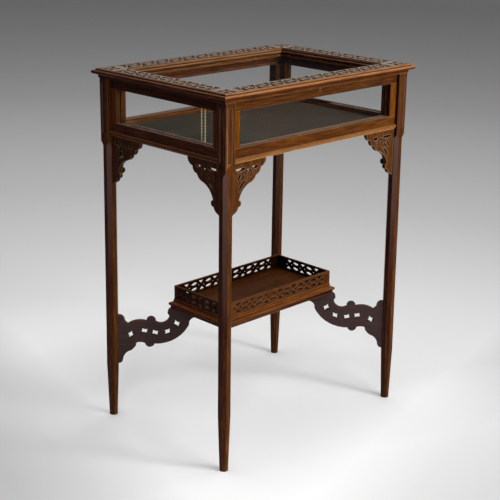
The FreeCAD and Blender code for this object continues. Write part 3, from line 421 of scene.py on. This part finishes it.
def clear_glass():
    """Old window glass: slightly green, faintly wavy, letting the lamps through."""
    material, tree, shader = new_material("clear_glass")
    ripple = noise_of(tree, object_place(tree), 7, 1)
    plug(tree, shader, {
        "Base Color": (0.985, 0.99, 0.987, 1),
        "Transmission Weight": 1,
        "Roughness": 0,
        "IOR": 1,
        "Coat Weight": 0.075,
        "Coat Roughness": 0,
        "Coat Normal": bump_of(tree, ripple, 0.05, 1 * MM)})
    shadow = add_node(tree, "ShaderNodeLightPath").outputs["Is Shadow Ray"]
    through = add_node(tree, "ShaderNodeBsdfTransparent", {"Color": (0.96, 0.975, 0.97, 1)})
    both = add_node(tree, "ShaderNodeMixShader", {
        0: shadow, 1: shader.outputs[0], 2: through.outputs[0]})
    plug(tree, tree.nodes["Material Output"], {"Surface": both.outputs[0]})
    return material


VELVET = ((0.32, (0.015, 0.008, 0.003)), (0.52, (0.025, 0.013, 0.005)),
          (0.72, (0.041, 0.024, 0.010)))
VELVET_FRONT_SHADE = (0.55, 0.5, 0.5)                       # these two multiply the colour; the first is a painted shade in front
VELVET_AT_LEFT = (0.6, 1.15, 1.4)
LINT = (0.14, 0.13, 0.11)


def velvet_cloth():
    """Worn brown velvet: short pile, brushed patches, lint, a painted shade towards the front,
    greener at the left.
    """
    material, tree, shader = new_material("velvet_cloth")
    place = object_place(tree)
    pile = noise_of(tree, place, 1400, 3, 0.7)
    brushed = noise_of(tree, place, 14, 4, 0.6, 0.8)
    lint = noise_of(tree, place, 420, 2, 0.8)
    colour = ramp(tree, brushed, VELVET)
    colour = times(tree, colour, ramp(tree, pile, [(0.3, 0.55), (0.7, 1.25)]), 0.7)
    colour = blend(tree, "MIX", ramp(tree, lint, [(0.72, 0), (0.8, 0.35)]), colour, LINT)
    sides = parts_of(tree, place)
    colour = times(tree, colour, VELVET_FRONT_SHADE, mapped(tree, sides["Y"], 0.1, -0.2))
    colour = times(tree, colour, VELVET_AT_LEFT, mapped(tree, sides["X"], 0, -0.23))
    plug(tree, shader, {
        "Base Color": colour,
        "Roughness": 0.95,
        "Specular IOR Level": 0.15,
        "Sheen Weight": 0.04,
        "Sheen Roughness": 0.5,
        "Sheen Tint": (0.50, 0.46, 0.40, 1),
        "Normal": bump_of(tree, pile, 0.5, 0.6 * MM)})
    return material


# ------------------------------------------------------------------ stage and light

LIGHT_POOL = (-0.14, 0.28, 0)                                  # middle of the floor's painted pool of light
FLOOR_RADIUS = 14
SHADE_REACH = 10                                         # how far from the pool's middle the floor darkens in painted shade
FLOOR_SHADES = (                                         # (share of SHADE_REACH, grey)
    (0, 0.93), (0.03, 0.95), (0.05, 0.87), (0.065, 0.79), (0.085, 0.72), (0.115, 0.645),
    (0.175, 0.53), (0.26, 0.43), (0.365, 0.31), (0.45, 0.255), (0.55, 0.212), (0.65, 0.182),
    (0.80, 0.152))
RIGHTWARD = (0.707, -0.707, 0)                           # level, as seen from the front left
NEARWARD = (-0.707, -0.707, 0)
LAMP_TARGET = (0, 0, 0.3)                                # what the near lamps face


def floor_grey(tree):
    """A painted pool of light under the object and in front of it, painted shade further off and to
    both sides.
    """
    place = object_place(tree)
    distance = vector_maths(tree, "DISTANCE", place, LIGHT_POOL).outputs["Value"]
    grey = ramp(tree, mapped(tree, distance, 0, SHADE_REACH), FLOOR_SHADES)
    right = dot(tree, place, RIGHTWARD)
    near = dot(tree, place, NEARWARD)
    in_front = mapped(tree, maths(tree, "MULTIPLY_ADD", right, 0.45, near), 0, 0.33)
    grey = blend(tree, "MIX", in_front, grey, 0.98)
    aside = maths(tree, "MULTIPLY_ADD", near, 0.6, maths(tree, "ABSOLUTE", right))
    return times(tree, grey, ramp(tree, aside, [(0.36, 1), (0.55, 0.73), (0.7, 0.6)]))


def make_floor():
    bm = bmesh.new()
    bmesh.ops.create_circle(bm, cap_ends=True, segments=96, radius=FLOOR_RADIUS)
    floor = add_object("floor", mesh_of(bm, "floor"))
    material, tree, shader = new_material("floor_paper")
    plug(tree, shader, {
        "Base Color": floor_grey(tree),
        "Roughness": 0.9,
        "Specular IOR Level": 0.1})
    floor.data.materials.append(material)


def direction(azimuth, elevation):
    """A direction given in degrees from +X and from level."""
    azimuth, elevation = math.radians(azimuth), math.radians(elevation)
    level = math.cos(elevation)
    return level * math.cos(azimuth), level * math.sin(azimuth), math.sin(elevation)


def add_lamp(name, kind, power, source):
    """A lamp that shines towards the object from the direction source."""
    data = bpy.data.lights.new(name, kind)
    data.energy = power
    lamp = add_object(name, data)
    lamp.rotation_mode = "QUATERNION"
    lamp.rotation_quaternion = Vector(source).to_track_quat("Z", "Y")
    return lamp


def sun(name, source, power, angle):
    """A far lamp as wide as an angle in degrees."""
    lamp = add_lamp(name, "SUN", power, source)
    lamp.data.angle = math.radians(angle)


def round_lamp(name, place, power, width):
    """A round lamp near the object."""
    lamp = add_lamp(name, "AREA", power, Vector(place) - Vector(LAMP_TARGET))
    lamp.location = place
    lamp.data.shape = "DISK"
    lamp.data.size = width


def make_light():
    round_lamp("key", (0.6, -1.6, 1.3), power=7, width=0.3)
    round_lamp("broad", (0.3, -1.8, 1.5), power=21, width=1.4)
    sun("left", direction(-138, 42), power=0.25, angle=10)
    sun("top", (0.1, 0.2, 1), power=1.65, angle=100)
    world = bpy.data.worlds.new("studio")
    world.use_nodes = True
    bpy.context.scene.world = world
    tree = world.node_tree
    height = parts_of(tree, add_node(tree, "ShaderNodeTexCoord").outputs["Generated"])["Z"]
    walls = ramp(tree, height, [(0, 0.06), (0.35, 0.08), (0.8, 0.3)])
    plug(tree, tree.nodes["Background"], {"Color": walls, "Strength": 1})


# ------------------------------------------------------------------ pieces

DOUBLED = 0.005 * MM                                     # points this near are one
FLAT = math.radians(0.4)                                 # faces that meet at less are one
EASED_FROM = math.radians(35)                            # edges sharper than this are eased
SHARP_FROM = math.radians(38)                            # and those sharper than this stay crisp
BOARD_SPREAD = 9                                         # board patterns start this far apart

# How wide the edges of pieces are eased.
RAIL_EDGE = 0.4 * MM
FINE_EDGE = 0.3 * MM
LID_EDGE = 0.25 * MM
BRACKET_EDGE = 0.5 * MM
STRETCHER_EDGE = 0.6 * MM
GLASS_EDGE = 0.2 * MM
METAL_EDGE = 0.15 * MM


def clean_copy(node):
    """The node's mesh with doubled points joined and flat faces made whole."""
    bm = bmesh.new()
    bm.from_mesh(NODES[node].data)
    bmesh.ops.remove_doubles(bm, verts=bm.verts, dist=DOUBLED)
    bmesh.ops.dissolve_limit(bm, angle_limit=FLAT, verts=bm.verts, edges=bm.edges)
    return bm


def cut_across(bm, place, normal):
    """New edges where a plane crosses the mesh; nothing is taken away."""
    bmesh.ops.bisect_plane(bm, geom=bm.verts[:] + bm.edges[:] + bm.faces[:],
                           plane_co=place, plane_no=normal)


def add_piece(name, mesh, node):
    """A piece that stands for a CAD node, on the node's body."""
    piece = add_object(name, mesh)
    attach(piece, NODES[node]["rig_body"])
    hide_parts(node)
    return piece


def soften(piece, width, segments=2):
    """Eased edges, and faces that shade smooth across shallow angles."""
    bevel = piece.modifiers.new("eased_edges", "BEVEL")
    bevel.width = width
    bevel.segments = segments
    bevel.limit_method = "ANGLE"
    bevel.angle_limit = EASED_FROM
    bevel.use_clamp_overlap = True
    bevel.harden_normals = True
    shade_smooth(piece.data, SHARP_FROM)


def islands_of(bm):
    """The separate solids of a mesh, each as a list of faces, in the order of their first faces."""
    left = set(bm.faces)
    found = []
    for first in bm.faces:
        if first not in left:
            continue
        left.remove(first)
        stack = [first]
        island = []
        while stack:
            face = stack.pop()
            island.append(face)
            for edge in face.edges:
                for other in edge.link_faces:
                    if other in left:
                        left.remove(other)
                        stack.append(other)
        found.append(island)
    return found


def longest_axis(faces):
    points = [vert.co for face in faces for vert in face.verts]
    spans = [max(p[i] for p in points) - min(p[i] for p in points) for i in range(3)]
    return "xyz"[spans.index(max(spans))]


def finish_wood(bm, node, woods):
    """A wooden piece: each board takes the wood of its longest axis and its own bit of pattern."""
    layer = bm.faces.layers.float_vector.new("board")
    for island in islands_of(bm):
        index = list(GRAINS).index(longest_axis(island))
        offset = Vector([rng.uniform(0, BOARD_SPREAD) for _ in range(3)])
        for face in island:
            face.material_index = index
            face[layer] = offset
    mesh = mesh_of(bm, node + "_wood")
    for axis in GRAINS:
        mesh.materials.append(woods[axis])
    return add_piece(node + "_wood", mesh, node)


def plain_wood(node, width, woods):
    """A node in wood, its edges eased by a width."""
    soften(finish_wood(clean_copy(node), node, woods), width)


def plain_piece(node, material, width):
    """A node in metal or glass, its edges eased by a width."""
    mesh = mesh_of(clean_copy(node), node + "_metal")
    mesh.materials.append(material)
    soften(add_piece(node + "_metal", mesh, node), width, segments=1)


# ------------------------------------------------------------------ carved lid

LID_NOSE = 9 * MM
LID_BORDER = 41 * MM
LID_STRIP = 5 * MM                                       # plain strip outside the fret
FRET_WIDTH = 32 * MM
FRET_DEPTH = 2.2 * MM
FRET_SHIFT = 1.5 * MM                                    # inwards from the border's middle
FRET_PITCH = 37 * MM                                     # about; a rail has an even number
CROSS_SHARE = 0.58                                       # of the pitch; ovals take the rest
OVAL_REACH = 1 * MM                                      # and this much more
CUTTER_RISE = 1 * MM                                     # above the wood
BOW_STEPS = 7


def bow(start, end, rise):
    """Points along a shallow bow from start to end, without the last one."""
    chord = Vector(end) - Vector(start)
    side = Vector((-chord.y, chord.x)).normalized()
    return [tuple(Vector(start) + chord * (i / BOW_STEPS)
                  + side * rise * math.sin(math.pi * i / BOW_STEPS)) for i in range(BOW_STEPS)]


def pointed_oval(start, end, rise):
    return bow(start, end, rise) + bow(end, start, rise)


def fret_cross(x, y, width, height):
    """The four triangular openings round a diagonal cross."""
    shapes = []
    for sign in (-1, 1):
        base = y + sign * height / 2
        shapes.append([(x - width * 0.4, base), (x + width * 0.4, base),
                       (x, y + sign * height * 0.05)])
        outer, inner = x + sign * width * 0.43, x + sign * width * 0.06
        shapes.append([(outer, y - height * 0.36), (outer, y + height * 0.36), (inner, y)])
    return shapes


def fret_ovals(x, y, width, height):
    """Two pointed ovals side by side across the border."""
    shapes = []
    for sign in (-1, 1):
        middle = y + sign * height * 0.26
        shapes.append(pointed_oval((x - width * 0.46, middle), (x + width * 0.46, middle),
                                   height * 0.2))
    return shapes


def fret_corner(x, y, width):
    """A rosette of four petals in a corner of the border."""
    shapes = []
    for quarter in range(4):
        angle = math.pi / 4 + quarter * QUARTER
        near = (x + math.cos(angle) * width * 0.08, y + math.sin(angle) * width * 0.08)
        far = (x + math.cos(angle) * width * 0.6, y + math.sin(angle) * width * 0.6)
        shapes.append(pointed_oval(near, far, width * 0.17))
    return shapes


def fret_row(length, y):
    """Crosses with ovals between them, in a row along x."""
    count = 2 * round(length / FRET_PITCH / 2)
    pitch = length / count
    cross_width = pitch * CROSS_SHARE
    oval_width = pitch - cross_width + OVAL_REACH
    row = []
    for number in range(count):
        x = -length / 2 + pitch * (number + 0.5)
        row += fret_cross(x, y, cross_width, FRET_WIDTH)
        if number < count - 1:
            row += fret_ovals(x + pitch / 2, y, oval_width, FRET_WIDTH)
    return row


def lid_fret():
    """Outlines of the blind fret sunk in the lid's flat border."""
    half_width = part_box("lid_rail_right")[1].x
    half_depth = -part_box("lid_rail_left")[0].y
    middle_line = LID_NOSE + LID_BORDER / 2 + FRET_SHIFT
    inner = LID_NOSE + LID_BORDER
    shapes = []
    for turn in range(4):
        along, out = (half_width, half_depth) if turn % 2 == 0 else (half_depth, half_width)
        row = fret_row(2 * (along - inner), middle_line - out)
        spin = Matrix.Rotation(turn * QUARTER, 2)
        shapes += [[tuple(spin @ Vector(point)) for point in shape] for shape in row]
    for right in (-1, 1):
        for back in (-1, 1):
            shapes += fret_corner(right * (half_width - middle_line),
                                  back * (half_depth - middle_line), FRET_WIDTH)
    return shapes


def cutter_of(outlines, low, high):
    """Upright prisms under flat outlines, as one mesh to cut with."""
    bm = bmesh.new()
    for outline in outlines:
        bottom = [bm.verts.new((x, y, low)) for x, y in outline]
        top = [bm.verts.new((x, y, high)) for x, y in outline]
        bm.faces.new(bottom[::-1])
        bm.faces.new(top)
        for i in range(len(outline)):
            j = (i + 1) % len(outline)
            bm.faces.new((bottom[i], bottom[j], top[j], top[i]))
    bmesh.ops.recalc_face_normals(bm, faces=bm.faces)
    return mesh_of(bm, "cutter")


def carve(bm, cutter_mesh):
    """Takes the cutter out of the mesh, and gives back the mesh that is left."""
    blank = add_object("carving", mesh_of(bm, "carving"))
    cutter = add_object("cutter", cutter_mesh)
    chisel = blank.modifiers.new("chisel", "BOOLEAN")
    chisel.object = cutter
    chisel.solver = "EXACT"
    bpy.context.view_layer.update()
    done = blank.evaluated_get(bpy.context.evaluated_depsgraph_get())
    result = bmesh.new()
    result.from_mesh(bpy.data.meshes.new_from_object(done))
    for thing in (blank, cutter):
        bpy.data.objects.remove(thing)
    bmesh.ops.remove_doubles(result, verts=result.verts, dist=DOUBLED)
    return result


def make_lid():
    """Moulded rails with a fret sunk in their tops under a painted sheen, and a nose all round with
    a painted highlight.
    """
    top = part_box("lid_rail_front")[1].z
    cutter = cutter_of(lid_fret(), top - FRET_DEPTH, top + CUTTER_RISE)
    # The fret's level tops get a painted grey sheen, and its sunk ground a deep painted shade.
    sheened = family("lid", dust_colour=LID_TOP_SHEEN, hollow=0.08)
    # The nose: lighter, a painted highlight, with little painted shade in its hollows.
    nose = family("nose", tint=(1.3, 1.15, 1.0), hollow=0.7)
    for side, outward in OUTWARD.items():
        node = f"lid_rail_{side}"
        bm = carve(clean_copy(node), cutter)
        rim = max(vert.co.dot(outward) for vert in bm.verts) - LID_NOSE - LID_STRIP
        cut_across(bm, outward * rim, outward)
        piece = finish_wood(bm, node, sheened)
        piece.data.materials.append(nose["x" if side in ("front", "back") else "y"])
        for polygon in piece.data.polygons:
            if polygon.center.dot(outward) > rim:
                polygon.material_index = len(GRAINS)
        soften(piece, LID_EDGE)
    plain_wood("lid_glazing_beads", LID_EDGE, WOOD)


# ------------------------------------------------------------------ case, legs, tray, fittings

def make_woodwork():
    # Brackets: a wider painted highlight along their rims.
    carved = family("carved", edge=4 * MM)
    for corner in CORNERS:
        plain_wood(f"leg_{corner}", RAIL_EDGE, WOOD)
        plain_wood(f"brackets_{corner}", BRACKET_EDGE, carved)
        plain_wood(f"stretcher_{corner}", STRETCHER_EDGE, diagonal(corner))
    # Upper rails: darker all over, a painted shade under the lid, and painted shade on their inner
    # faces.
    upper = family("upper", tint=(0.86, 0.86, 0.95), inner=(0.6, 0.57, 0.72))
    # The front lower rail: a painted lit copy, lighter and yellower.
    lit_front_rail = family("lower", tint=(1.12, 1.08, 0.9))
    for side in OUTWARD:
        plain_wood(f"upper_rail_{side}", RAIL_EDGE, upper)
        plain_wood(f"lower_rail_{side}", RAIL_EDGE, lit_front_rail if side == "front" else WOOD)
    # Beads: painted shade on their inner faces.
    beads = family("beads", inner=(0.75, 0.65, 0.8))
    plain_wood("case_glazing_beads", FINE_EDGE, beads)
    plain_wood("floor_board", FINE_EDGE, WOOD)
    # Base moulding: a wide painted highlight along its rims and a weaker one on top; its side boards
    # in painted shade.
    base = family("base", tint=(1.25, 1.15, 0.95), short=0.5, worn_top=0.5, edge=4.5 * MM,
                  edge_colour=(0.75, 0.40, 0.16))
    plain_wood("base_moulding", FINE_EDGE, base)
    # Stiles: painted shade, bluer, on their inner faces.
    stiles = family("stiles", tint=(1.7, 1.6, 0.9), inner=(0.42, 0.55, 1.4))
    plain_wood("glazing_stiles", FINE_EDGE, stiles)
    # Tray edges: their side boards in painted shade.
    edges = family("edges", tint=(1.2, 1, 0.75), short=0.35, dust=0, worn_top=0.3)
    plain_wood("tray_edges", FINE_EDGE, edges)
    # The tray's board: a darker board, darkened further by painted shade under the case.
    tray = family("tray", tint=(0.42, 0.30, 0.20), dust=0)
    plain_wood("tray_board", FINE_EDGE, tray)
    # Gallery: inner faces nearly black and side boards darker, all painted shade.
    gallery = family("gallery", short=0.6, inner=(0.16, 0.12, 0.12), dust=0, worn_top=0.1,
                     edge=0.8 * MM)
    plain_wood("tray_gallery_long", RAIL_EDGE, gallery)
    plain_wood("tray_gallery_short", RAIL_EDGE, gallery)


def make_glass():
    glass = clear_glass()
    for node in [f"glass_{side}" for side in OUTWARD] + ["lid_glass"]:
        plain_piece(node, glass, GLASS_EDGE)


def make_hardware():
    fittings = brass("old_brass", (0.60, 0.42, 0.19))
    for node in ("hinge_case_leaves", "hinge_lid_leaves", "hinge_pins", "hinge_case_screws",
                 "hinge_lid_screws", "lock_case", "lock_screws", "escutcheon", "strike_plate",
                 "strike_screws", "chain_eye_case", "chain_eye_lid"):
        plain_piece(node, fittings, METAL_EDGE)
    plain_piece("lock_bolt", bright_steel(), METAL_EDGE)


# ------------------------------------------------------------------ velvet lining

CLOTH_PITCH = 6 * MM                                     # of the grid that lets it bend
SETTLED = 1.1 * MM                                       # how far the pile has sunk all over
WAVE = 0.5 * MM
CREASE = 0.25 * MM
ROLLED_EDGE = 0.9 * MM
FOLD_FROM = math.radians(60)


def ripple(point, x_scale, y_scale, layer):
    """Smooth noise from -1 to 1 over the level plane."""
    return noise.noise(Vector((point.x * x_scale, point.y * y_scale, layer)))


def make_velvet():
    """The lining: cloth with a rolled edge that has settled unevenly on its board."""
    bm = clean_copy("velvet_lining")
    low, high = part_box("velvet_lining")
    for axis, normal in enumerate((Vector((1, 0, 0)), Vector((0, 1, 0)))):
        place = low[axis] + CLOTH_PITCH
        while place < high[axis] - CLOTH_PITCH / 2:
            cut_across(bm, normal * place, normal)
            place += CLOTH_PITCH
    half = (high.z - low.z) / 2
    edge_verts = {vert for edge in bm.edges for vert in edge.verts
                  if abs(edge.verts[0].co.z - edge.verts[1].co.z) > half}
    for vert in bm.verts:
        if vert.co.z > low.z + half:
            drop = (SETTLED + WAVE * ripple(vert.co, 16, 16, 3.1)
                    + CREASE * ripple(vert.co, 60, 9, 8.2))
            vert.co.z -= drop + (ROLLED_EDGE if vert in edge_verts else 0)
    mesh = mesh_of(bm, "velvet_cloth")
    mesh.materials.append(velvet_cloth())
    shade_smooth(mesh, FOLD_FROM)
    piece = add_piece("velvet_cloth", mesh, "velvet_lining")


# ------------------------------------------------------------------ stay chain

LINK_LENGTH = 4.4 * MM
LINK_WIDTH = 2.7 * MM
WIRE_RADIUS = 0.62 * MM
LINK_OVERLAP = 0.25 * MM                                 # of one link's wire loop on the next
LINK_STEPS = 20                                          # round a link
WIRE_STEPS = 8                                           # round its wire
WOBBLE = 9                                               # degrees


def chain_link(bm, centre, heading, twist):
    """One oval link: a round wire swept round a long loop."""
    turn = heading.to_track_quat("Z", "Y").to_matrix() @ Matrix.Rotation(twist, 3, "Z")
    straight = LINK_LENGTH / 2 - LINK_WIDTH / 2
    bend = LINK_WIDTH / 2 - WIRE_RADIUS
    rings = []
    for i in range(LINK_STEPS):
        angle = 2 * math.pi * i / LINK_STEPS
        shift = straight if math.sin(angle) >= 0 else -straight
        out = Vector((math.cos(angle), 0, math.sin(angle)))
        middle = out * bend + Vector((0, 0, shift))
        ring = []
        for j in range(WIRE_STEPS):
            around = 2 * math.pi * j / WIRE_STEPS
            point = (middle + out * WIRE_RADIUS * math.cos(around)
                     + Vector((0, 1, 0)) * WIRE_RADIUS * math.sin(around))
            ring.append(bm.verts.new(centre + turn @ point))
        rings.append(ring)
    for i in range(LINK_STEPS):
        here, ahead = rings[i], rings[(i + 1) % LINK_STEPS]
        for j in range(WIRE_STEPS):
            k = (j + 1) % WIRE_STEPS
            bm.faces.new((here[j], ahead[j], ahead[k], here[k]))


def chain_run(node):
    """A straight run of chain as a row of oval links, every other one turned."""
    low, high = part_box(node)
    span = high - low
    axis = list(span).index(max(span))
    start, end = (low + high) / 2, (low + high) / 2
    start[axis], end[axis] = low[axis], high[axis]
    length = (end - start).length
    heading = (end - start).normalized()
    count = max(2, round(length / (LINK_LENGTH - 2 * WIRE_RADIUS - LINK_OVERLAP)))
    pitch = (length - LINK_LENGTH) / (count - 1)
    bm = bmesh.new()
    for i in range(count):
        centre = start + heading * (LINK_LENGTH / 2 + pitch * i)
        wobble = math.radians(rng.uniform(-WOBBLE, WOBBLE))
        chain_link(bm, centre, heading, (i % 2) * QUARTER + math.radians(45) + wobble)
    bmesh.ops.recalc_face_normals(bm, faces=bm.faces)
    return mesh_of(bm, node + "_links")


def make_chain():
    """The stay chain's four runs."""
    gold = brass("chain_brass", (1.0, 0.86, 0.48), dull_share=0.9)
    for number in range(1, 5):
        node = f"stay_chain_{number}"
        mesh = chain_run(node)
        shade_smooth(mesh)
        mesh.materials.append(gold)
        add_piece(node + "_links", mesh, node)


# ------------------------------------------------------------------ all together

make_camera()
make_floor()
make_light()
make_woodwork()
make_lid()
make_glass()
make_hardware()
make_velvet()
make_chain()
